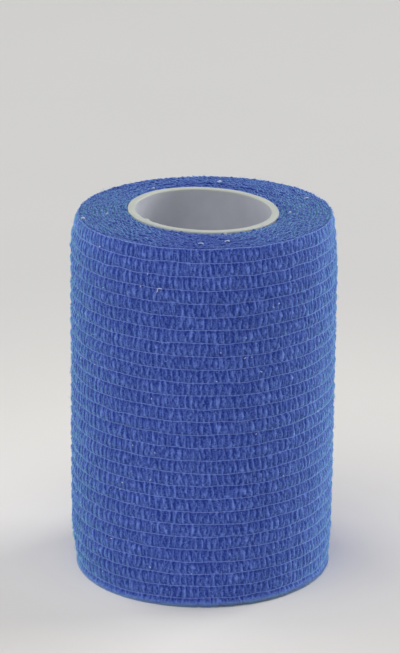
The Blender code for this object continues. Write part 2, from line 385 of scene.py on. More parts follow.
def crinkled_nonwoven(colours):
    """Creped polypropylene nonwoven, spunbonded and dyed in the mass.

    It is matt and a little fuzzy: painted shade makes the hollows deep blue and a painted highlight the
    crests paler, the web of fibres mottles it, and seen edge on the fuzz turns it paler and greener.
    """
    material, tree = new_material("creped_nonwoven", colours.cloth_lit_crest)
    place = add_node(tree, "ShaderNodeTexCoord").outputs["Object"]
    relief = add_node(tree, "ShaderNodeAttribute", attribute_name="relief").outputs["Fac"]
    cut = add_node(tree, "ShaderNodeAttribute", attribute_name="cut").outputs["Fac"]

    # The web of 20 micron fibres is too fine to show, so its clumps are drawn 0.3 mm wide
    clumps = add_node(tree, "ShaderNodeTexNoise", {
        "Vector": place, "Scale": 1 / (0.30 * MM), "Detail": 3.0, "Roughness": 0.65})
    # Dye and thickness vary over about 7 mm
    dye = add_node(tree, "ShaderNodeTexNoise", {
        "Vector": place, "Scale": 1 / (7.0 * MM), "Detail": 2.0, "Roughness": 0.5})
    mottle = add_node(tree, "ShaderNodeMapRange", {
        "Value": clumps, "From Min": 0.32, "From Max": 0.68, "To Min": -0.34, "To Max": 0.26})
    tone = add_node(tree, "ShaderNodeMath", {0: relief, 1: mottle}, operation="ADD", use_clamp=True)
    # Painted light: relief and mottle pick the colour, painted shade in the hollows and a painted highlight
    # on the crests
    crest = add_node(tree, "ShaderNodeMix", {
        "Factor": cut, "A": (*colours.cloth_lit_crest, 1.0), "B": (*colours.cloth_cut, 1.0)}, data_type="RGBA")
    cloth = add_node(tree, "ShaderNodeMix", {
        "Factor": tone, "A": (*colours.cloth_shaded_hollow, 1.0), "B": crest}, data_type="RGBA")
    shade = add_node(tree, "ShaderNodeMapRange", {
        "Value": dye, "From Min": 0.3, "From Max": 0.7, "To Min": 0.97, "To Max": 1.03})
    dyed = add_node(tree, "ShaderNodeVectorMath", {0: cloth, 1: shade}, operation="MULTIPLY")

    # Bundles of fibres, drawn 0.16 mm wide for the same reason
    bundles = add_node(tree, "ShaderNodeTexNoise", {
        "Vector": place, "Scale": 1 / (0.16 * MM), "Detail": 2.0, "Roughness": 0.7})
    bump = add_node(tree, "ShaderNodeBump", {"Height": bundles, "Strength": 0.55, "Distance": 0.05 * MM})
    shader = add_node(tree, "ShaderNodeBsdfPrincipled", {
        "Base Color": dyed, "Normal": bump, "Roughness": 0.80, "IOR": 1.49, "Specular IOR Level": 0.32,
        "Sheen Weight": 1.0, "Sheen Roughness": 0.38, "Sheen Tint": (*colours.cloth_sheen, 1.0)})
    add_node(tree, "ShaderNodeOutputMaterial", {"Surface": shader})
    return material


def wrapped_elastic(colours):
    """Spandex thread wrapped in fine yarn. It lies proud and catches the light, and so is a pale line."""
    material, tree = new_material("wrapped_elastic", colours.thread)
    place = add_node(tree, "ShaderNodeTexCoord").outputs["Object"]
    # Cloth fibres that cling to the thread break its line every millimetre or so
    cling = add_node(tree, "ShaderNodeTexNoise", {
        "Vector": place, "Scale": 1 / (0.9 * MM), "Detail": 3.0, "Roughness": 0.7})
    covered = add_node(tree, "ShaderNodeMapRange", {
        "Value": cling, "From Min": 0.42, "From Max": 0.66, "To Min": 0.0, "To Max": 0.75})
    colour = add_node(tree, "ShaderNodeMix", {
        "Factor": covered, "A": (*colours.thread, 1.0), "B": (*colours.cloth_lit_crest, 1.0)}, data_type="RGBA")
    shader = add_node(tree, "ShaderNodeBsdfPrincipled", {
        "Base Color": colour, "Roughness": 0.6, "IOR": 1.5})
    add_node(tree, "ShaderNodeOutputMaterial", {"Surface": shader})
    return material


def pale_yarn(colours):
    """Undyed polyester yarn off the threads' wrapping. Its bits are the palest specks on the cloth."""
    material, tree = new_material("pale_yarn", colours.stray)
    shader = add_node(tree, "ShaderNodeBsdfPrincipled", {
        "Base Color": (*colours.stray, 1.0), "Roughness": 0.6, "IOR": 1.5})
    add_node(tree, "ShaderNodeOutputMaterial", {"Surface": shader})
    return material


def loose_fibre(colours):
    """Single polypropylene fibres. They are nearly clear, and so look paler than the cloth under them."""
    material, tree = new_material("loose_fibre", colours.fibre)
    place = add_node(tree, "ShaderNodeTexCoord").outputs["Object"]
    # Dye varies from one fibre to the next, over about 1.5 mm
    strands = add_node(tree, "ShaderNodeTexNoise", {"Vector": place, "Scale": 1 / (1.5 * MM), "Detail": 1.0})
    colour = add_node(tree, "ShaderNodeMix", {
        "Factor": strands, "A": (*colours.fibre, 1.0), "B": (*colours.cloth_lit_crest, 1.0)}, data_type="RGBA")
    shader = add_node(tree, "ShaderNodeBsdfPrincipled", {
        "Base Color": colour, "Roughness": 0.55, "IOR": 1.49})
    add_node(tree, "ShaderNodeOutputMaterial", {"Surface": shader})
    return material


def moulded_polypropylene(colours):
    """White polypropylene, extruded and cut to length.

    The wall is satin and a little cool, and the cut rims are creamier.
    """
    material, tree = new_material("moulded_polypropylene", colours.tube)
    place = add_node(tree, "ShaderNodeTexCoord").outputs["Object"]
    rim = add_node(tree, "ShaderNodeAttribute", attribute_name="rim").outputs["Fac"]
    # Handling marks a few millimetres across
    marks = add_node(tree, "ShaderNodeTexNoise", {
        "Vector": place, "Scale": 1 / (4.0 * MM), "Detail": 4.0, "Roughness": 0.6})
    wear = add_node(tree, "ShaderNodeMapRange", {
        "Value": marks, "From Min": 0.35, "From Max": 0.65, "To Min": 0.94, "To Max": 1.0})
    colour = add_node(tree, "ShaderNodeMix", {
        "Factor": rim, "A": (*colours.tube, 1.0), "B": (*colours.tube_rim, 1.0)}, data_type="RGBA")
    worn = add_node(tree, "ShaderNodeVectorMath", {0: colour, 1: wear}, operation="MULTIPLY")
    satin = add_node(tree, "ShaderNodeMapRange", {
        "Value": marks, "From Min": 0.3, "From Max": 0.7, "To Min": 0.42, "To Max": 0.56})
    # Ripple of the extruder's die, about 0.8 mm
    ripple = add_node(tree, "ShaderNodeTexNoise", {"Vector": place, "Scale": 1 / (0.8 * MM), "Detail": 2.0})
    bump = add_node(tree, "ShaderNodeBump", {"Height": ripple, "Strength": 0.25, "Distance": 0.04 * MM})
    shader = add_node(tree, "ShaderNodeBsdfPrincipled", {
        "Base Color": worn, "Roughness": satin, "Normal": bump, "IOR": 1.49})
    add_node(tree, "ShaderNodeOutputMaterial", {"Surface": shader})
    return material


def painted_board(colours):
    """Matt painted board of the stage. Its middle is paler, a painted pool of light round the roll that also
    throws more light up at it.
    """
    material, tree = new_material("painted_board", colours.floor)
    place = add_node(tree, "ShaderNodeTexCoord").outputs["Object"]
    # The roller laid the paint unevenly over about 60 mm
    coat = add_node(tree, "ShaderNodeTexNoise", {"Vector": place, "Scale": 1 / (60 * MM), "Detail": 2.0})
    shade = add_node(tree, "ShaderNodeMapRange", {"Value": coat, "To Min": 0.985, "To Max": 1.015})
    # Painted light: paler within about 0.05 to 0.19 m of the middle, a painted pool of light round the roll
    away = add_node(tree, "ShaderNodeVectorMath", {0: place}, operation="LENGTH")
    far = add_node(tree, "ShaderNodeMapRange", {
        "Value": away, "From Min": 0.05, "From Max": 0.19}, interpolation_type="SMOOTHSTEP")
    board = add_node(tree, "ShaderNodeMix", {
        "Factor": far, "A": (*colours.floor_lit_middle, 1.0), "B": (*colours.floor, 1.0)}, data_type="RGBA")
    colour = add_node(tree, "ShaderNodeVectorMath", {0: board, 1: shade}, operation="MULTIPLY")
    shader = add_node(tree, "ShaderNodeBsdfPrincipled", {"Base Color": colour, "Roughness": 0.9, "IOR": 1.45})
    add_node(tree, "ShaderNodeOutputMaterial", {"Surface": shader})
    return material


# ---------------------------------------------------------------- meshes

def strip_mesh(name, points, cyclic=False):
    """A closed mesh from points[profile, column]. The profile closes on itself.

    A strip that isn't cyclic has a flat cap at each end. The faces point outwards, whichever way round the
    points run.
    """
    profile, columns = points.shape[:2]
    index = np.arange(profile * columns).reshape(profile, columns)
    below = np.roll(index, -1, axis=0)
    beside = np.roll(index, -1, axis=1)
    corner = np.roll(below, -1, axis=1)
    last = columns if cyclic else columns - 1
    quads = np.stack([index, below, corner, beside], axis=-1)[:, :last].reshape(-1, 4)
    caps = [] if cyclic else [index[::-1, 0].tolist(), index[:, -1].tolist()]

    mesh = bpy.data.meshes.new(name)
    mesh.from_pydata(points.reshape(-1, 3).tolist(), [], quads.tolist() + caps)
    mesh.shade_smooth()
    for face in list(mesh.polygons)[len(quads):]:
        face.use_smooth = False
    a, b, c, d = (points.reshape(-1, 3)[quads[:, i]] for i in range(4))
    if np.einsum("ij,ij->", a, np.cross(b, c)) + np.einsum("ij,ij->", a, np.cross(c, d)) < 0:
        mesh.flip_normals()
    return mesh


def paint(mesh, name, values):
    """Stores one number at each vertex, for a material to read."""
    layer = mesh.attributes.new(name, "FLOAT", "POINT")
    layer.data.foreach_set("value", np.asarray(values, dtype=np.float32).ravel())


def unroll(mesh, along, across):
    """A UV map in metres along and across the cloth."""
    corners = np.empty(len(mesh.loops), dtype=np.int32)
    mesh.loops.foreach_get("vertex_index", corners)
    flat = np.stack([np.asarray(along).ravel()[corners], np.asarray(across).ravel()[corners]], axis=-1)
    mesh.uv_layers.new(name="cloth").data.foreach_set("uv", flat.astype(np.float32).ravel())


def add_object(name, mesh, material=None):
    mesh.name = name
    body = bpy.data.objects.new(name, mesh)
    bpy.context.scene.collection.objects.link(body)
    if material is not None:
        mesh.materials.clear()
        mesh.materials.append(material)
    return body


def run_nodes(name, mesh, tree, values):
    """Runs a Geometry Nodes tree on a mesh and returns the result as a plain mesh."""
    carrier = add_object(name, mesh)
    modifier = carrier.modifiers.new(tree.name, "NODES")
    modifier.node_group = tree
    sockets = {item.name: item.identifier for item in tree.interface.items_tree if item.item_type == "SOCKET"}
    for label, value in values.items():
        modifier[sockets[label]] = value
    evaluated = carrier.evaluated_get(bpy.context.evaluated_depsgraph_get())
    result = bpy.data.meshes.new_from_object(evaluated)
    carrier.modifiers.remove(modifier)
    bpy.data.objects.remove(carrier, do_unlink=True)
    if not result.polygons:
        raise RuntimeError(f"{name}: its nodes made no faces")
    return result


# ---------------------------------------------------------------- the winding

def wander(rng, along, rows, size, shortest, longest, waves=7):
    """Smooth random curves along the cloth, one for each row, with a spread of about the given size."""
    lengths = shortest * (longest / shortest) ** rng.random((rows, waves, 1))
    starts = rng.random((rows, waves, 1))
    return size * (np.sin(tau * (along / lengths + starts)).sum(axis=1) * sqrt(2.0 / waves))


def patches(rng, x, y, size, shortest, longest, waves=10):
    """A smooth random field over a plane, with a spread of about the given size."""
    total = 0.0
    for _ in range(waves):
        length = shortest * (longest / shortest) ** rng.random()
        heading, start = tau * rng.random(2)
        total = total + np.sin(tau * (x * cos(heading) + y * sin(heading)) / length + start)
    return size * (total * sqrt(2.0 / waves))


def layer_of(roll):
    """How much one turn adds to the radius."""
    return (roll.radius - roll.tube_radius - roll.fit_gap) / roll.turns


def wound(roll, turned, stands, height):
    """Where a point of the winding lies.

    turned counts turns since the cloth's inner end, and a whole number lies at the angle of the loose end.
    stands is the distance from the outer face of that turn's layer, and height is that over the foot.
    """
    bore = roll.tube_radius + roll.fit_gap
    radius = bore + layer_of(roll) * (turned + 0.5) + stands
    angle = LOOSE_END_AT + tau * turned
    outward = np.maximum(0.0, (radius - bore) / (roll.radius - bore))
    upward = np.clip(height / roll.width, 0.0, 1.0)

    uneven = np.zeros(np.broadcast(angle, height).shape)
    for wave in WAVES:
        turned_by = tau * wave["turn_over_height"] * upward
        uneven += wave["size"] * np.cos(wave["lobes"] * angle + turned_by + radians(wave["starts_at"]))
    right, back = np.cos(angle), np.sin(angle)
    uneven += SIDE_WIDENS["all round"] * (upward - 0.5)
    uneven += SIDE_WIDENS["more on the right"] * (upward - 0.8) * right
    reach = UPPER_DRAW_HEIGHT["mean"] + UPPER_DRAW_HEIGHT["more on the right"] * right
    highness = np.clip(1.0 - (roll.width - height) / reach, 0.0, 1.0)
    drawn_in = (UPPER_DRAW["mean"] + UPPER_DRAW["more at the back"] * back
                - UPPER_DRAW["less on the right"] * right)
    uneven -= drawn_in * highness ** UPPER_DRAW_CURVE
    drawn_in = LOWER_DRAW["least"] + LOWER_DRAW["more on the left"] * np.maximum(0.0, -right) ** 3
    uneven -= drawn_in * 0.5 * (1.0 + np.cos(pi * np.minimum(1.0, height / LOWER_DRAW_HEIGHT)))
    radius = radius + uneven * outward ** OUTER_TURNS

    drop = (UPPER_DROP["mean"] + UPPER_DROP["more at the back"] * back
            - UPPER_DROP["less on the right"] * right)
    lift = LOWER_LIFT * np.maximum(0.0, np.cos(angle - LOWER_LIFT_AT)) ** 2
    hanging = np.clip(2.0 * outward - 1.0, 0.0, 1.0) ** 2
    height = height - drop * outward ** 2 * upward ** UPPER_TURNS
    height = height + lift * hanging * (1.0 - upward) ** LOWER_TURNS
    x, y, z = np.broadcast_arrays(AXIS_X + radius * np.cos(angle), AXIS_Y + radius * np.sin(angle), height)
    return np.stack([x, y, z], axis=-1)


def crinkles(rng, along, levels, spacing):
    """The relief of the creped cloth, 0 in a hollow and 1 on a crease, as [level, along].

    levels are places across the cloth, counted in rows from its upper edge. Between two threads the cloth
    breaks up into flat blisters with sharp edges. A few waves of nearly the same length add up to one wave
    with a wandering phase, which has an edge at each crest. A second, shorter one adds the fainter edges.
    """
    rows = int(np.floor(levels.max())) + 1
    row = np.floor(levels).astype(int)
    share = (levels - row)[:, None]
    phases = []
    edges = []
    for creases in (SHARP_CREASES, FAINT_CREASES):
        across = (share + ROWS_APART * row[:, None]) * ROW_WIDTH
        total = np.exp(1j * patches(rng, along, across, *CREASE_WANDERS))
        waves = 0.0
        for _ in range(CREASE_WAVES):
            length = (spacing * creases["spacing"] * rng.uniform(*CREASE_SPREAD, rows))[row][:, None]
            start, lean, bow = ((rng.uniform(-1.0, 1.0, rows) * most)[row][:, None]
                                for most in (CREASE_STARTS, CREASE_LEANS, CREASE_BOWS))
            waves = waves + np.exp(
                1j * (tau * along / length + start + lean * share + bow * 4.0 * share * (1.0 - share)))
        phases.append(np.angle(total * waves))
        edges.append(np.exp(-(phases[-1] / creases["width"]) ** 2))
    # Many an edge or hollow reaches only part of the way from thread to thread
    parts = (np.maximum(0.0, 1.0 - 2.0 * share), 1.0 - np.abs(2.0 * share - 1.0),
             np.maximum(0.0, 2.0 * share - 1.0))
    sharp, faint, depth = (
        sum(part * np.clip(CREASE_STRENGTH + wander(rng, along, rows, *CREASE_STRENGTH_WANDERS), 0, 1)[row]
            for part in parts) for _ in range(3))
    hollow = depth * np.clip(np.sin(phases[0]), 0.0, 1.0) ** HOLLOWS["curve"]
    relief = (BLISTER_RELIEF + SHARP_CREASES["relief"] * sharp * edges[0]
              + FAINT_CREASES["relief"] * faint * edges[1] - HOLLOWS["relief"] * hollow)
    # Just below each thread the cloth is tucked in, and its lower relief there is also a painted shadow of
    # the thread
    tuck_and_shadow = TUCK_AND_SHADOW["depth"] + TUCK_AND_SHADOW["more on a crease"] * (relief - BLISTER_RELIEF)
    return np.clip(relief - np.exp(-((share - TUCK_AND_SHADOW["at"]) / TUCK_AND_SHADOW["width"]) ** 2) * tuck_and_shadow, 0.0, 1.0)


def outer_cloth(roll, cloth):
    """The outer turn's visible face, with its values as [level, column] and the levels of its threads."""
    rng = np.random.default_rng(SEEDS["outer turn"])
    last = cloth.threads - 1
    foot_row = (roll.width - FIRST_THREAD - last * cloth.thread_pitch) / cloth.thread_pitch
    levels = [k + step for k in range(last) for step in ROW_STEPS]
    levels += [last + step * foot_row for step in FOOT_STEPS]
    levels = np.array(levels)
    foot = slice(-len(FOOT_STEPS), None)
    down = np.array(FOOT_STEPS)[:, None]

    turned = roll.turns - 1 + np.linspace(-OVERLAP, 1.0, OUTER_COLUMNS)
    to_end = roll.turns - turned
    along = tau * roll.radius * turned
    relief = crinkles(rng, along, levels, cloth.crinkle_spacing)

    # The threads wander a little up and down. The cloth between two threads follows both
    shifts = wander(rng, along, cloth.threads + 1, *THREAD_WANDERS)
    shifts[0] *= FIRST_THREAD_WANDERS
    shifts[-1] = 0.0
    row = np.floor(levels).astype(int)
    share = (levels - row)[:, None]
    height = (roll.width - FIRST_THREAD - cloth.thread_pitch * levels[:, None]
              + (1 - share) * shifts[row] + share * shifts[row + 1])
    height[foot] = height[foot][0] * (1.0 - down)
    height = np.maximum(height, 0.0)

    # 0 at a thread and 1 in the middle between two
    middle = np.minimum(share, 1.0 - share) * 2.0
    middle[foot] = np.minimum(middle[foot], (1.0 - down) * 2.0)
    free = (FREE_TO_RISE["at a thread"]
            + FREE_TO_RISE["more between"] * np.sin(middle * pi / 2) ** FREE_TO_RISE["curve"])
    # No thread holds the upper edge down, so that the creases run out over it
    free[0] = FREE_TO_RISE["upper edge"]
    height[0] += UPPER_JAGS["size"] * (relief[0] - UPPER_JAGS["even relief"])
    # The lower edge frays too, and is paler for it and for a painted highlight: its relief rises towards a
    # crest's
    # pale colour
    frayed_and_lit = FOOT_FRAY_AND_HIGHLIGHT + wander(rng, along, 1, *FOOT_FRAY_AND_HIGHLIGHT_WANDERS)
    low = np.clip(down * FOOT_FRAY_AND_HIGHLIGHT_RISE["slope"] - FOOT_FRAY_AND_HIGHLIGHT_RISE["starts"], 0.0, 1.0)
    relief[foot] += low * (np.clip(frayed_and_lit, 0.0, 1.0) - relief[foot])
    puff = cloth.row_puff * (1.0 - (1.0 - middle) ** PUFF_CURVE)
    stands = puff + cloth.crinkle_depth * (relief - EVEN_RELIEF) * free
    # The last millimetre before the loose end is pressed down
    pressed = np.clip(1.0 - to_end * tau * roll.radius / PRESSED_END["length"], 0, 1)
    stands = stands - PRESSED_END["depth"] * pressed ** 2

    ragged = wander(rng, levels * cloth.thread_pitch, 1, *RAGGED_END_WANDERS)[0][:, None]
    near_end = np.clip(1.0 - to_end / RAGGED_END["turns"], 0.0, 1.0)
    turned = turned[None, :] + ragged * near_end ** 2 * RAGGED_END["share"]
    threads = np.flatnonzero(np.isclose(levels, np.round(levels)))
    return {"levels": levels, "turned": turned, "along": along, "relief": relief, "height": height,
            "stands": stands, "threads": threads}


def outer_half(roll, cloth, face, first, final, upper):
    """One half of the outer turn, a closed wall, from level first to level final."""
    thick = cloth.thickness
    deep = layer_of(roll) * DEEP_IN_LAYER
    parts = [face[part][first:final + 1] for part in ("turned", "stands", "height", "relief")]

    # Behind the face: (depth, end of the face, height over that end, relief). The relief falls to 0 deep
    # down, painted shade in the gap behind the face
    if upper:
        back = [(deep, "low", 0.0, 0.2), (deep, "high", -3.0 * MM, 0.0),
                (thick * 1.3, "high", -0.9 * MM, 0.1), (thick * 1.3, "high", -0.14 * MM, 0.5),
                (thick * 0.75, "high", 0.05 * MM, 0.7), (thick * 0.32, "high", 0.07 * MM, 0.8)]
    else:
        back = [(thick * 0.5, "low", 0.0, 0.5), (thick, "low", 0.10 * MM, 0.3),
                (deep, "low", 3.0 * MM, 0.0), (deep, "high", 0.0, 0.2)]
    behind = []
    for depth, end, lift, tone in back:
        turned, stands, height, relief = (part[{"high": 0, "low": -1}[end]] for part in parts)
        # The deepest points are smooth, and the others follow the crinkles of the face
        stands = stands * (0.0 if depth == deep else 1.0) - depth
        relief = tone * (WALL_TONE["least"] + WALL_TONE["more on a crease"] * relief)
        behind.append((turned, stands, np.maximum(height + lift, 0.0), relief))
    turned, stands, height, relief = (np.vstack([part, *extra]) for part, extra in zip(parts, zip(*behind)))

    name = "outer_turn_upper" if upper else "outer_turn_lower"
    mesh = strip_mesh(name, wound(roll, turned, stands, height))
    paint(mesh, "relief", relief)
    cut = np.zeros(relief.shape)
    cut[final - first + 1:] = 1.0
    paint(mesh, "cut", cut)
    # No fibre stands out of the last stretch above the ground
    shows = np.zeros(relief.shape)
    shows[:final - first - (0 if upper else len(FOOT_STEPS))] = 1.0
    paint(mesh, "fuzz", shows)
    unroll(mesh, tau * roll.radius * turned, height)
    return add_object(name, mesh)


def inner_spiral(roll, cloth):
    """The turns inside the outer one, as one long sheet on edge."""
    rng = np.random.default_rng(SEEDS["inner turns"])
    layer = layer_of(roll)
    bore = roll.tube_radius + roll.fit_gap
    start, end = INNER_START, roll.turns - 1.0
    length = tau * ((end - start) * (bore + layer / 2) + layer * (end ** 2 - start ** 2) / 2)
    count = int(length / INNER_STEP)
    # Equal steps along the cloth: the radius grows evenly with the turns, so the length grows as a square
    turns = np.linspace(start, end, INNER_SAMPLES)
    travelled = tau * ((bore + layer / 2) * (turns - start) + layer * (turns ** 2 - start ** 2) / 2)
    along = np.linspace(0.0, travelled[-1], count)
    turned = np.interp(along, travelled, turns)

    edge = crinkles(rng, along, np.array(INNER_LEVELS), cloth.crinkle_spacing)
    sway = (edge - INNER_EVEN_RELIEF) * INNER_SWAY + wander(rng, along, 2, *INNER_SWAY_WANDERS)
    rough = sum(wander(rng, along, 2, *waves) for waves in INNER_EDGE_WANDERS)
    high = roll.width - INNER_EDGE["below"] + rough[0] + INNER_EDGE["rise"] * (edge[0] - INNER_EVEN_RELIEF)
    low = np.clip(INNER_FOOT["height"] + INNER_FOOT["roughness"] * rough[1], 0.0, INNER_FOOT["highest"])
    # The cut edges are crushed and matted together in patches that cross from turn to turn
    radius = bore + layer * (turned + 0.5)
    x, y = radius * np.cos(LOOSE_END_AT + tau * turned), radius * np.sin(LOOSE_END_AT + tau * turned)
    high = high + patches(rng, x, y, *INNER_EDGE_MATTING)
    # The first turns follow the slant of the tube's rim and lie just below it
    near_tube = np.clip(NEAR_TUBE["starts"] - turned / NEAR_TUBE["turns"], 0.0, 1.0)
    high = high - (TUBE_RIM_FALL * x / radius + NEAR_TUBE["drop"]) * near_tube
    tone = INNER_TONE["mean"] + wander(rng, along, 1, *INNER_TONE_WANDERS)[0]
    tone = np.clip(tone + patches(rng, x, y, *INNER_TONE_MATTING), 0.0, INNER_TONE["palest"])

    # Round the sheet: (depth as a share of its thickness, which edge, height over that edge, relief). The
    # upper edge frays, and so spreads a little over the gap to the next turn. The relief falls from the
    # frayed top to 0 down the sheet's sides, painted shade in the gaps between turns
    section = (
        (0.00, 0, -0.60 * MM, 0.00), (-0.10, 0, -0.11 * MM, 0.62), (0.50, 0, 0.0, 1.00),
        (1.16, 0, -0.09 * MM, 0.68), (1.00, 0, -0.60 * MM, 0.00),
        (1.00, 1, 0.50 * MM, 0.00), (0.80, 1, 0.05 * MM, 0.70), (0.20, 1, 0.0, 0.80),
        (0.00, 1, 0.50 * MM, 0.00),
    )
    edges = (high, low)
    stands = np.vstack([sway[which] - share * cloth.thickness for share, which, _, _ in section])
    height = np.vstack([edges[which] + over for _, which, over, _ in section])
    relief = np.vstack([tone * level for _, _, _, level in section])

    turned = np.broadcast_to(turned, height.shape)
    mesh = strip_mesh("inner_turns", wound(roll, turned, stands, np.maximum(height, 0.0)))
    paint(mesh, "relief", np.clip(relief, 0, 1))
    paint(mesh, "cut", np.ones(relief.shape))
    # Fibres stand on the upper edge only
    shows = np.zeros(relief.shape)
    shows[1:4] = 1.0
    paint(mesh, "fuzz", shows)
    unroll(mesh, np.broadcast_to(along, height.shape), height)
    return add_object("inner_turns", mesh)


# ---------------------------------------------------------------- threads and fibres

def new_tree(name, sockets):
    """A Geometry Nodes tree with a geometry input and output and the named inputs."""
    tree = bpy.data.node_groups.new(name, "GeometryNodeTree")
    tree.interface.new_socket("Geometry", in_out="OUTPUT", socket_type="NodeSocketGeometry")
    tree.interface.new_socket("Geometry", in_out="INPUT", socket_type="NodeSocketGeometry")
    for label, kind in sockets.items():
        tree.interface.new_socket(label, in_out="INPUT", socket_type=kind)
    return tree, add_node(tree, "NodeGroupInput").outputs


def thread_tree():
    """Sweeps each line of edges into a round thread that wanders a little."""
    tree, given = new_tree("sweep_threads", {
        "Thickness": "NodeSocketFloat", "Sides": "NodeSocketInt", "Wander": "NodeSocketFloat",
        "Wander Length": "NodeSocketFloat", "Material": "NodeSocketMaterial"})
    lines = add_node(tree, "GeometryNodeMeshToCurve", {"Mesh": given["Geometry"]})
    pitch = add_node(tree, "ShaderNodeMath", {0: 1.0, 1: given["Wander Length"]}, operation="DIVIDE")
    noise = add_node(tree, "ShaderNodeTexNoise", {"Scale": pitch, "Detail": 1.0})
    centred = add_node(tree, "ShaderNodeVectorMath", {
        0: noise.outputs["Color"], 1: (0.5, 0.5, 0.5)}, operation="SUBTRACT")
    offset = add_node(tree, "ShaderNodeVectorMath", {
        0: centred, "Scale": given["Wander"]}, operation="SCALE")
    moved = add_node(tree, "GeometryNodeSetPosition", {"Geometry": lines, "Offset": offset})
    half = add_node(tree, "ShaderNodeMath", {0: given["Thickness"], 1: 0.5}, operation="MULTIPLY")
    ring = add_node(tree, "GeometryNodeCurvePrimitiveCircle", {"Resolution": given["Sides"], "Radius": half})
    swept = add_node(tree, "GeometryNodeCurveToMesh", {
        "Curve": moved, "Profile Curve": ring, "Fill Caps": True})
    smooth = add_node(tree, "GeometryNodeSetShadeSmooth", {"Geometry": swept})
    real = add_node(tree, "GeometryNodeRealizeInstances", {"Geometry": smooth})
    finished = add_node(tree, "GeometryNodeSetMaterial", {"Geometry": real, "Material": given["Material"]})
    add_node(tree, "NodeGroupOutput", {"Geometry": finished})
    return tree


def fibre_tree():
    """Stands short bent fibres on the faces where the attribute named fuzz is 1."""
    tree, given = new_tree("stand_fibres", {
        "Density": "NodeSocketFloat", "Length": "NodeSocketFloat", "Thickness": "NodeSocketFloat",
        "Seed": "NodeSocketInt", "Material": "NodeSocketMaterial"})
    fuzz = add_node(tree, "GeometryNodeInputNamedAttribute", {"Name": "fuzz"}, data_type="FLOAT")
    where = add_node(tree, "ShaderNodeMath", {0: fuzz, 1: 0.999}, operation="GREATER_THAN")
    density = add_node(tree, "ShaderNodeMath", {0: where, 1: given["Density"]}, operation="MULTIPLY")
    points = add_node(tree, "GeometryNodeDistributePointsOnFaces", {
        "Mesh": given["Geometry"], "Density": density, "Seed": given["Seed"]}, distribute_method="RANDOM")

    root, arch, tip = (
        add_node(tree, "ShaderNodeVectorMath", {0: point, "Scale": given["Length"]}, operation="SCALE")
        for point in FIBRE_BEND)
    bend = add_node(tree, "GeometryNodeCurveQuadraticBezier", {
        "Resolution": 3, "Start": root, "Middle": arch, "End": tip})
    half = add_node(tree, "ShaderNodeMath", {0: given["Thickness"], 1: 0.5}, operation="MULTIPLY")
    ring = add_node(tree, "GeometryNodeCurvePrimitiveCircle", {"Resolution": 3, "Radius": half})
    fibre = add_node(tree, "GeometryNodeCurveToMesh", {
        "Curve": bend, "Profile Curve": ring, "Fill Caps": True})

    spin = add_node(tree, "FunctionNodeRandomValue", {
        "Min": (-FIBRE_LEAN, -FIBRE_LEAN, 0.0), "Max": (FIBRE_LEAN, FIBRE_LEAN, tau), "Seed": given["Seed"]},
        data_type="FLOAT_VECTOR")
    turn = add_node(tree, "FunctionNodeEulerToRotation", {"Euler": spin})
    stand = add_node(tree, "FunctionNodeRotateRotation", {
        "Rotation": points.outputs["Rotation"], "Rotate By": turn}, rotation_space="LOCAL")
    size = add_node(tree, "FunctionNodeRandomValue", {
        "Min": FIBRE_SIZES[0], "Max": FIBRE_SIZES[1], "Seed": given["Seed"]}, data_type="FLOAT")
    planted = add_node(tree, "GeometryNodeInstanceOnPoints", {
        "Points": points.outputs["Points"], "Instance": fibre, "Rotation": stand, "Scale": size})
    real = add_node(tree, "GeometryNodeRealizeInstances", {"Geometry": planted})
    finished = add_node(tree, "GeometryNodeSetMaterial", {"Geometry": real, "Material": given["Material"]})
    add_node(tree, "NodeGroupOutput", {"Geometry": finished})
    return tree


def polyline_mesh(name, lines):
    """A mesh of loose edges, one chain for each list of points."""
    points = [tuple(point) for line in lines for point in line]
    edges = []
    first = 0
    for line in lines:
        edges += [(first + i, first + i + 1) for i in range(len(line) - 1)]
        first += len(line)
    mesh = bpy.data.meshes.new(name)
    mesh.from_pydata(points, edges, [])
    return mesh


def swept(name, lines, thickness, sides, wobble, material):
    """A piece of round threads, one along each line."""
    mesh = run_nodes(name, polyline_mesh(name, lines), thread_tree(), {
        "Thickness": thickness, "Sides": sides, "Material": material, **wobble})
    return add_object(name, mesh)


def thread_lines(roll, cloth):
    """The elastic threads, each with its cut end."""
    rng = np.random.default_rng(SEEDS["threads"])
    face = outer_cloth(roll, cloth)
    lines = []
    for number, level in enumerate(face["threads"]):
        turned, stands, height = (
            face[part][level][::THREAD_COLUMNS] for part in ("turned", "stands", "height"))
        stands = stands + (THREAD_PROUD if number else FIRST_THREAD_PROUD)
        past = rng.uniform(CUT_THREAD["shortest"], CUT_THREAD["longest"]) * np.array(CUT_THREAD_ALONG)
        slope = rng.uniform(-CUT_THREAD["slope"], CUT_THREAD["slope"])
        turned = np.append(turned, roll.turns + past / (tau * roll.radius))
        stands = np.append(stands, stands[-1] - layer_of(roll) * np.array(CUT_THREAD_DOWN))
        height = np.append(height, height[-1] + slope * past)
        lines.append(wound(roll, turned, stands, height))
    return lines


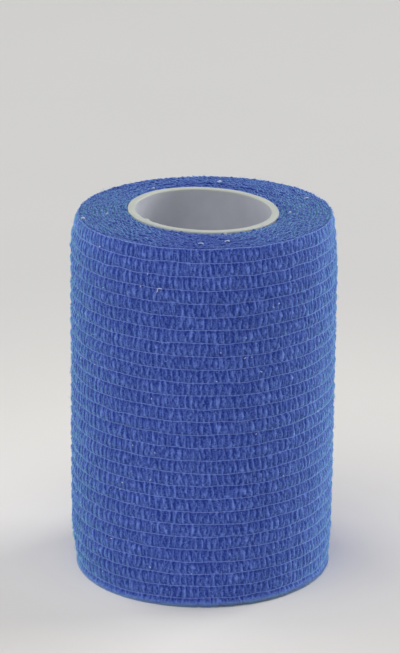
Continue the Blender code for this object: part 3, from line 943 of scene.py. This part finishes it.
def bit_lines(roll, cloth):
    """The stray bits of yarn on the side and on the upper end, and the hooked end."""
    rng = np.random.default_rng(SEEDS["stray bits"])
    face = outer_cloth(roll, cloth)
    step = face["along"][1] - face["along"][0]

    def lay(level, column, forward, upward):
        """A line on the cloth, from offsets along and across it."""
        columns = column + np.round(forward / step).astype(int)
        height = face["height"][level, column] + upward
        levels = np.abs(face["height"][:, column][:, None] - height).argmin(axis=0)
        stands = face["stands"][levels, columns] + BIT_PROUD
        return wound(roll, face["turned"][level, column] + forward / (tau * roll.radius), stands, height)

    lines = []
    for _ in range(cloth.stray_bits):
        level = rng.integers(1, len(face["levels"]) - len(FOOT_STEPS))
        column = rng.integers(END_MARGIN, OUTER_COLUMNS - END_MARGIN)
        reach = rng.uniform(*BIT_LENGTH) * np.array([0.0, 0.5, 1.0])
        heading, bend = rng.uniform(0.0, tau), rng.uniform(-BIT_BENDS, BIT_BENDS)
        lines.append(lay(level, column, reach * np.cos(heading + bend * reach),
                         reach * np.sin(heading + bend * reach)))
    for right, behind, length in BITS_ON_END * TANGLE:
        heading = rng.uniform(-TANGLE_HEADING, TANGLE_HEADING)
        reach = length * rng.uniform(*TANGLE_SIZES) * np.array([-0.5, 0.0, 0.5])
        aside = rng.uniform(-TANGLE_ASIDE, TANGLE_ASIDE, 3)
        lines.append(np.stack([AXIS_X + right + aside[0] + reach * cos(heading),
                               AXIS_Y + behind + aside[1] + reach * sin(heading),
                               roll.width + aside[2] + np.array(TANGLE_HEIGHTS)], axis=-1))
    column = int(((HOOK_AT - LOOSE_END_AT) % tau) / tau * OUTER_COLUMNS)
    lines.append(lay(int(face["threads"][HOOK_THREAD]), column, *np.array(HOOK).T))
    return lines


def fringe_lines(roll, cloth):
    """Frayed fibres of the outer turn's cut edges. They lie along the upper edge and hang from the lower."""
    rng = np.random.default_rng(SEEDS["edge fringe"])
    face = outer_cloth(roll, cloth)
    share = np.array([0.0, 0.5, 1.0])
    round_once = tau * roll.radius
    lines = []
    for _ in range(cloth.fringe_fibres // UPPER_FRINGE_SHARE):
        column = rng.integers(END_MARGIN, OUTER_COLUMNS - END_MARGIN)
        starts, ends = rng.uniform(UPPER_FRINGE["low"], UPPER_FRINGE["high"], 2)
        sideways = rng.uniform(-UPPER_FRINGE["along"], UPPER_FRINGE["along"]) * share
        inwards = rng.uniform(-UPPER_FRINGE["out"], UPPER_FRINGE["in"])
        lines.append(wound(roll, face["turned"][0, column] + sideways / round_once,
                           face["stands"][0, column] - inwards,
                           face["height"][0, column] + starts + (ends - starts) * share))
    for _ in range(cloth.fringe_fibres):
        column = rng.integers(END_MARGIN, OUTER_COLUMNS - END_MARGIN)
        starts, ends = rng.uniform(*LOWER_FRINGE_ROOTS), rng.uniform(*LOWER_FRINGE_TIPS)
        sideways = rng.uniform(-LOWER_FRINGE["along"], LOWER_FRINGE["along"]) * share
        outwards = LOWER_FRINGE["root out"] + rng.uniform(0.0, LOWER_FRINGE["out"]) * share
        line = wound(roll, face["turned"][-1, column] + sideways / round_once,
                     face["stands"][-2, column] + outwards, starts + (ends - starts) * share)
        # None reaches into the floor
        line[:, 2] = np.maximum(line[:, 2], cloth.fibre_thickness)
        lines.append(line)
    return lines


# ---------------------------------------------------------------- the tube and the stage

def tube_mesh(roll):
    """The tube, with rounded rims."""
    outer, inner = roll.tube_radius, roll.tube_radius - roll.tube_wall
    top, turn = roll.width, roll.tube_rounding
    wall = WALL_STARTS * turn
    bends = [i * pi / 2 / CORNER_STEPS for i in range(CORNER_STEPS + 1)]
    corner = [(sin(bend), cos(bend)) for bend in bends]
    profile = [(outer - turn + turn * x, top - turn + turn * y) for x, y in corner]
    profile += [(outer, top - wall), (outer, wall)]
    profile += [(outer - turn + turn * y, turn - turn * x) for x, y in corner]
    profile += [(inner + turn - turn * x, turn - turn * y) for x, y in corner]
    profile += [(inner, wall), (inner, top - wall)]
    profile += [(inner + turn - turn * y, top - turn + turn * x) for x, y in corner]
    radius = np.array([r for r, _ in profile])[:, None]
    height = np.array([z for _, z in profile])[:, None]
    angle = np.linspace(0.0, tau, TUBE_COLUMNS, endpoint=False)[None, :]

    upper = np.clip((height - top + SAW_REACHES) / SAW_REACHES, 0.0, 1.0)
    saw = sum(size * np.sin(lobes * angle + start) for lobes, start, size in SAW_WAVES)
    from_burr = (angle - BURR["at"] + pi) % tau - pi
    burr = np.exp(-(from_burr / BURR["width"]) ** 2) * upper * (radius < inner + turn)
    radius = radius - BURR["inwards"] * burr
    height = height + saw * upper + BURR["upwards"] * burr
    height = height - TUBE_RIM_FALL * (height > top / 2) * radius * np.cos(angle) / outer
    x, y = AXIS_X + radius * np.cos(angle), AXIS_Y + radius * np.sin(angle)
    points = np.stack(np.broadcast_arrays(x, y, np.maximum(height, 0.0)), axis=-1)

    mesh = strip_mesh("winding_tube", points, cyclic=True)
    rims = np.array([float(min(z, top - z) < RIM_REACHES * turn) for _, z in profile])
    paint(mesh, "rim", np.broadcast_to(rims[:, None], points.shape[:2]))
    return mesh


def bowl_mesh():
    """The floor and its backdrop in one."""
    columns = BOWL_COLUMNS
    points = [(0.0, 0.0, 0.0)]
    for radius, height in BOWL:
        points += [(radius * cos(tau * i / columns), radius * sin(tau * i / columns), height)
                   for i in range(columns)]
    faces = [(0, 1 + i, 1 + (i + 1) % columns) for i in range(columns)]
    for ring in range(len(BOWL) - 1):
        here, above = 1 + ring * columns, 1 + (ring + 1) * columns
        faces += [(here + i, above + i, above + (i + 1) % columns, here + (i + 1) % columns)
                  for i in range(columns)]
    mesh = bpy.data.meshes.new("floor")
    mesh.from_pydata(points, [], faces)
    mesh.transform(Matrix.Translation((0.0, 0.0, -BOWL_BELOW)))
    mesh.shade_smooth()
    return mesh


def add_lamp(scene, name, azimuth, up, distance, size, watts):
    """A square softbox that faces the middle of the roll."""
    data = bpy.data.lights.new(name, "AREA")
    data.shape = "SQUARE"
    data.size = size
    data.energy = watts * scene.stage_sizes.light
    azimuth, up = radians(azimuth), radians(up)
    towards = Vector((sin(azimuth) * cos(up), -cos(azimuth) * cos(up), sin(up)))
    light = bpy.data.objects.new(name, data)
    light.location = Vector((0.0, 0.0, scene.roll_sizes.width / 2)) + towards * distance
    light.rotation_euler = towards.to_track_quat("Z", "Y").to_euler()
    scene.collection.objects.link(light)


def soft_sky(stage):
    """A world of even light."""
    world = bpy.data.worlds.new("soft_sky")
    world.use_nodes = True
    world.node_tree.nodes.clear()
    sky = add_node(world.node_tree, "ShaderNodeBackground", {
        "Color": (*stage.sky_colour, 1.0), "Strength": stage.sky})
    add_node(world.node_tree, "ShaderNodeOutputWorld", {"Surface": sky})
    return world


def add_camera(scene):
    """The camera, in front of the roll and looking down at it."""
    stage = scene.stage_sizes
    lens = bpy.data.cameras.new("camera")
    lens.sensor_width = SENSOR_MM
    lens.lens = stage.focal_length
    lens.clip_start, lens.clip_end = CAMERA_CLIP
    camera = bpy.data.objects.new("camera", lens)
    scene.collection.objects.link(camera)
    up = stage.elevation
    where = Vector(CAMERA_AIM) + Vector((0.0, -cos(up), sin(up))) * stage.distance
    tilt = Matrix.Rotation(pi / 2 - up, 4, "X") @ Matrix.Rotation(CAMERA_ROLL, 4, "Z")
    camera.matrix_world = Matrix.Translation(where) @ tilt
    scene.camera = camera


# ---------------------------------------------------------------- operators

def claim(piece, node):
    """Hangs the piece on the root body and hides the solid that it stands for."""
    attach(piece, "root")
    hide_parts(node)


class BANDAGE_OT_outer_turn(bpy.types.Operator):
    """Make the outer turn of cloth, in an upper and a lower half"""
    bl_idname = "bandage.outer_turn"
    bl_label = "Outer turn"

    def execute(self, context):
        scene = context.scene
        roll, cloth = scene.roll_sizes, scene.cloth_sizes
        face = outer_cloth(roll, cloth)
        split = int(face["threads"][SPLIT_AT_THREAD])
        material = crinkled_nonwoven(scene.roll_colours)
        upper = outer_half(roll, cloth, face, 0, split, True)
        lower = outer_half(roll, cloth, face, split, len(face["levels"]) - 1, False)
        for piece in (upper, lower):
            piece.data.materials.append(material)
            claim(piece, "bandage_roll")
        return {"FINISHED"}


class BANDAGE_OT_inner_turns(bpy.types.Operator):
    """Make the spiral of the turns inside the outer one"""
    bl_idname = "bandage.inner_turns"
    bl_label = "Inner turns"

    def execute(self, context):
        scene = context.scene
        piece = inner_spiral(scene.roll_sizes, scene.cloth_sizes)
        piece.data.materials.append(bpy.data.objects["outer_turn_upper"].active_material)
        claim(piece, "bandage_roll")
        return {"FINISHED"}


class BANDAGE_OT_elastic_threads(bpy.types.Operator):
    """Lay the elastic threads round the outer turn"""
    bl_idname = "bandage.elastic_threads"
    bl_label = "Elastic threads"

    def execute(self, context):
        scene = context.scene
        cloth = scene.cloth_sizes
        piece = swept("elastic_threads", thread_lines(scene.roll_sizes, cloth), cloth.thread_thickness, 5,
                      THREAD_WOBBLE, wrapped_elastic(scene.roll_colours))
        claim(piece, "bandage_roll")
        return {"FINISHED"}


class BANDAGE_OT_stray_bits(bpy.types.Operator):
    """Scatter stray bits of yarn over the outer turn and the upper end, and hang up a hooked thread end"""
    bl_idname = "bandage.stray_bits"
    bl_label = "Stray bits"

    def execute(self, context):
        scene = context.scene
        piece = swept("stray_bits", bit_lines(scene.roll_sizes, scene.cloth_sizes), BIT_THICKNESS, 5,
                      BIT_WOBBLE, pale_yarn(scene.roll_colours))
        claim(piece, "bandage_roll")
        return {"FINISHED"}


class BANDAGE_OT_surface_fibres(bpy.types.Operator):
    """Stand loose fibres on the outer turn and on the upper cut edges, and fray the outer turn's edges"""
    bl_idname = "bandage.surface_fibres"
    bl_label = "Surface fibres"

    def execute(self, context):
        scene = context.scene
        roll, cloth = scene.roll_sizes, scene.cloth_sizes
        tree = fibre_tree()
        material = loose_fibre(scene.roll_colours)
        # Real fibres are 0.02 mm thick. They are drawn twice as thick, so that they show
        values = {"Density": cloth.fibres / (tau * roll.radius * roll.width), "Length": cloth.fibre_length,
                  "Thickness": cloth.fibre_thickness, "Material": material}
        for name, source, seed in (
                ("side_fibres_upper", "outer_turn_upper", SEEDS["upper side fibres"]),
                ("side_fibres_lower", "outer_turn_lower", SEEDS["lower side fibres"]),
                ("end_fibres", "inner_turns", SEEDS["end fibres"])):
            ground = bpy.data.objects[source].data.copy()
            piece = add_object(name, run_nodes(name, ground, tree, dict(values, Seed=seed)))
            claim(piece, "bandage_roll")
        piece = swept("edge_fringe", fringe_lines(roll, cloth), cloth.fibre_thickness * FRINGE_THICKNESS, 3,
                      FRINGE_WOBBLE, material)
        claim(piece, "bandage_roll")
        return {"FINISHED"}


class BANDAGE_OT_winding_tube(bpy.types.Operator):
    """Make the tube that the bandage is wound on"""
    bl_idname = "bandage.winding_tube"
    bl_label = "Winding tube"

    def execute(self, context):
        scene = context.scene
        material = moulded_polypropylene(scene.roll_colours)
        piece = add_object("winding_tube", tube_mesh(scene.roll_sizes), material)
        claim(piece, "core_tube")
        return {"FINISHED"}


class BANDAGE_OT_stage(bpy.types.Operator):
    """Add the floor with its backdrop, the lamps and the camera"""
    bl_idname = "bandage.stage"
    bl_label = "Stage"

    def execute(self, context):
        scene = context.scene
        add_object("floor", bowl_mesh(), painted_board(scene.roll_colours))
        for lamp in LAMPS:
            add_lamp(scene, **lamp)
        scene.world = soft_sky(scene.stage_sizes)
        add_camera(scene)
        scene.view_settings.view_transform = "Standard"
        return {"FINISHED"}


class BANDAGE_PT_roll(bpy.types.Panel):
    """Lists the roll's sizes and colours and the steps that make it"""
    bl_label = "Bandage roll"
    bl_idname = "BANDAGE_PT_roll"
    bl_space_type = "VIEW_3D"
    bl_region_type = "UI"
    bl_category = "Bandage"

    def draw(self, context):
        layout = self.layout
        for name, _ in SETTINGS:
            group = getattr(context.scene, name)
            column = layout.column(align=True)
            for label in group.bl_rna.properties.keys():
                if label not in ("rna_type", "name"):
                    column.prop(group, label)
        column = layout.column(align=True)
        for step in STEPS:
            column.operator(step.bl_idname)


SETTINGS = (
    ("roll_sizes", RollSizes),
    ("cloth_sizes", ClothSizes),
    ("roll_colours", RollColours),
    ("stage_sizes", StageSizes),
)
STEPS = (
    BANDAGE_OT_outer_turn,
    BANDAGE_OT_inner_turns,
    BANDAGE_OT_elastic_threads,
    BANDAGE_OT_stray_bits,
    BANDAGE_OT_surface_fibres,
    BANDAGE_OT_winding_tube,
    BANDAGE_OT_stage,
)


def register():
    for name, group in SETTINGS:
        bpy.utils.register_class(group)
        setattr(bpy.types.Scene, name, PointerProperty(type=group))
    for step in STEPS:
        bpy.utils.register_class(step)
    bpy.utils.register_class(BANDAGE_PT_roll)


def unregister():
    bpy.utils.unregister_class(BANDAGE_PT_roll)
    for step in reversed(STEPS):
        bpy.utils.unregister_class(step)
    for name, group in reversed(SETTINGS):
        delattr(bpy.types.Scene, name)
        bpy.utils.unregister_class(group)


def main():
    register()
    bpy.ops.bandage.outer_turn()
    bpy.ops.bandage.inner_turns()
    bpy.ops.bandage.elastic_threads()
    bpy.ops.bandage.stray_bits()
    bpy.ops.bandage.surface_fibres()
    bpy.ops.bandage.winding_tube()
    bpy.ops.bandage.stage()


if __name__ == "__main__":
    main()
